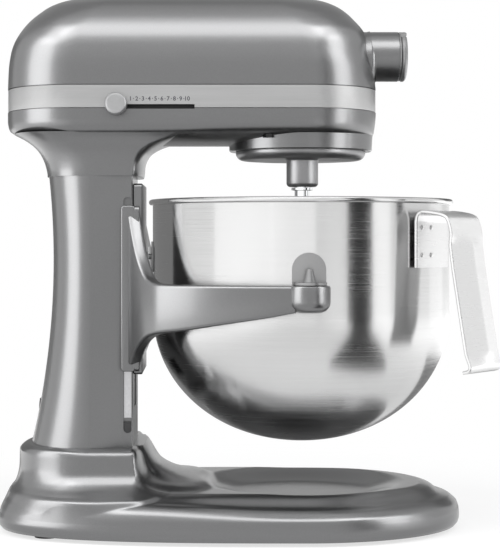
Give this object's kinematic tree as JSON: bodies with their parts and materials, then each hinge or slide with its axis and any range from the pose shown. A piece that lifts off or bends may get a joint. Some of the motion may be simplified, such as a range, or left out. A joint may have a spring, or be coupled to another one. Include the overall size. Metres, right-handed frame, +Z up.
{
  "type": "bowl-lift stand mixer",
  "caption": "Bowl-lift stand mixer: cast base and column, motor head with planetary beater drive and front hub, lifting yoke with steel bowl.",
  "frame": {"origin": "centre of the resting face, on the floor", "axes": "+X towards the hub and the front, +Z up, the bowl axis is upright in the plane y = 0"},
  "size_m": [0.3873, 0.2808, 0.42],
  "materials": {
    "body_paint": "silver-grey metallic gloss enamel",
    "band_metal": "satin silver",
    "polished_steel": "polished",
    "bowl_steel": "finely brushed round the axis",
    "steel": "machined",
    "cast_alloy": "as cast, machined faces",
    "bronze": "machined",
    "lamination": "stacked laminations",
    "copper": "lacquered",
    "rubber": "matt",
    "dark_plastic": "moulded",
    "carbon": "pressed graphite",
    "circuit_board": "lacquered board",
    "nylon": "moulded"
  },
  "bodies": {
    "root": {"base_casting": "body_paint", "base_feet": "rubber", "column_casting": "body_paint", "column_bolts": "steel", "guide_strips": "steel", "groove_stops": "rubber", "head_lower": "body_paint", "head_cover": "body_paint", "trim_band": "band_metal", "cover_screws": "steel", "neck_bolts": "steel", "hub_liner": "polished_steel", "ring_gear": "steel", "gear_frame": "cast_alloy", "shaft_bearing": "steel", "shaft_bush": "bronze", "hub_bearing": "bronze", "wheel_pin": "steel", "motor_stator": "lamination", "field_windings": "copper", "motor_saddle": "cast_alloy", "front_bearing": "steel", "rear_bearing": "steel", "brush_bracket": "dark_plastic", "carbon_brushes": "carbon", "control_board": "circuit_board", "speed_sensor": "circuit_board", "lead_gland": "rubber", "lift_bush": "bronze"},
    "armature": {"armature_shaft": "steel", "armature_core": "lamination", "commutator": "copper", "cooling_fan": "dark_plastic"},
    "worm_wheel": {"worm_wheel": "bronze"},
    "planetary": {"planet_carrier": "cast_alloy", "centre_shaft": "steel", "centre_gear": "steel", "centre_bevel": "steel", "spindle_bush": "bronze"},
    "beater_spindle": {"beater_shaft": "polished_steel", "beater_pinion": "steel", "drive_pin": "polished_steel"},
    "hub_drive": {"hub_bevel": "steel"},
    "hub_cap": {"hub_cap": "polished_steel"},
    "attachment_knob": {"attachment_knob": "dark_plastic", "knob_screw": "steel"},
    "speed_lever": {"speed_knob": "band_metal", "speed_slider": "dark_plastic"},
    "carriage": {"bowl_yoke": "body_paint", "locating_pins": "polished_steel", "slide_retainer": "steel", "retainer_screws": "steel", "latch_clip": "polished_steel"},
    "lift_lever": {"lift_shaft": "steel", "crank_roller": "nylon", "lift_lever": "body_paint", "lever_grip": "dark_plastic"},
    "bowl": {"bowl_shell": "bowl_steel", "bowl_brackets": "polished_steel", "bowl_handle": "polished_steel"}
  },
  "joints": [
    {"name": "motor_spin", "type": "hinge", "parent": "root", "child": "armature", "pos_m": [0, 0, 0.372], "axis": [1, 0, 0], "continuous": true},
    {"name": "worm_wheel_spin", "type": "hinge", "parent": "root", "child": "worm_wheel", "pos_m": [0.01052, 0.026, 0.372], "axis": [0, 0, 1], "continuous": true},
    {"name": "planetary_spin", "type": "hinge", "parent": "root", "child": "planetary", "pos_m": [0.047, 0, 0.3], "axis": [0, 0, 1], "continuous": true},
    {"name": "beater_spin", "type": "hinge", "parent": "planetary", "child": "beater_spindle", "pos_m": [0.047, -0.028, 0.3], "axis": [0, 0, 1], "continuous": true},
    {"name": "hub_spin", "type": "hinge", "parent": "root", "child": "hub_drive", "pos_m": [0.077, 0, 0.3736], "axis": [1, 0, 0], "continuous": true},
    {"name": "hub_cap_flip", "type": "hinge", "parent": "root", "child": "hub_cap", "pos_m": [0.129, 0, 0.3907], "axis": [0, -1, 0], "range_deg": [0, 110]},
    {"name": "attachment_knob_turn", "type": "hinge", "parent": "root", "child": "attachment_knob", "pos_m": [0.111, 0.0248, 0.3736], "axis": [0, 1, 0], "continuous": true},
    {"name": "speed_lever_slide", "type": "slide", "parent": "root", "child": "speed_lever", "axis": [1, 0, 0], "range_m": [0, 0.054]},
    {"name": "bowl_lift_slide", "type": "slide", "parent": "root", "child": "carriage", "axis": [0, 0, -1], "range_m": [0, 0.036]},
    {"name": "bowl_lift_lever_turn", "type": "hinge", "parent": "root", "child": "lift_lever", "pos_m": [-0.108, 0.06, 0.19], "axis": [0, -1, 0], "range_deg": [0, 110]},
    {"name": "bowl_lift_off", "type": "slide", "parent": "carriage", "child": "bowl", "axis": [0, 0, 1], "range_m": [0, 0.013]}
  ],
  "couplings": [
    {"joint": "planetary_spin", "follows": "motor_spin", "ratio": 0.022222},
    {"joint": "worm_wheel_spin", "follows": "motor_spin", "ratio": -0.066667},
    {"joint": "beater_spin", "follows": "motor_spin", "ratio": -0.090598},
    {"joint": "hub_spin", "follows": "motor_spin", "ratio": 0.033333},
    {"joint": "bowl_lift_lever_turn", "follows": "bowl_lift_slide", "rad_per_m": 53.3}
  ]
}
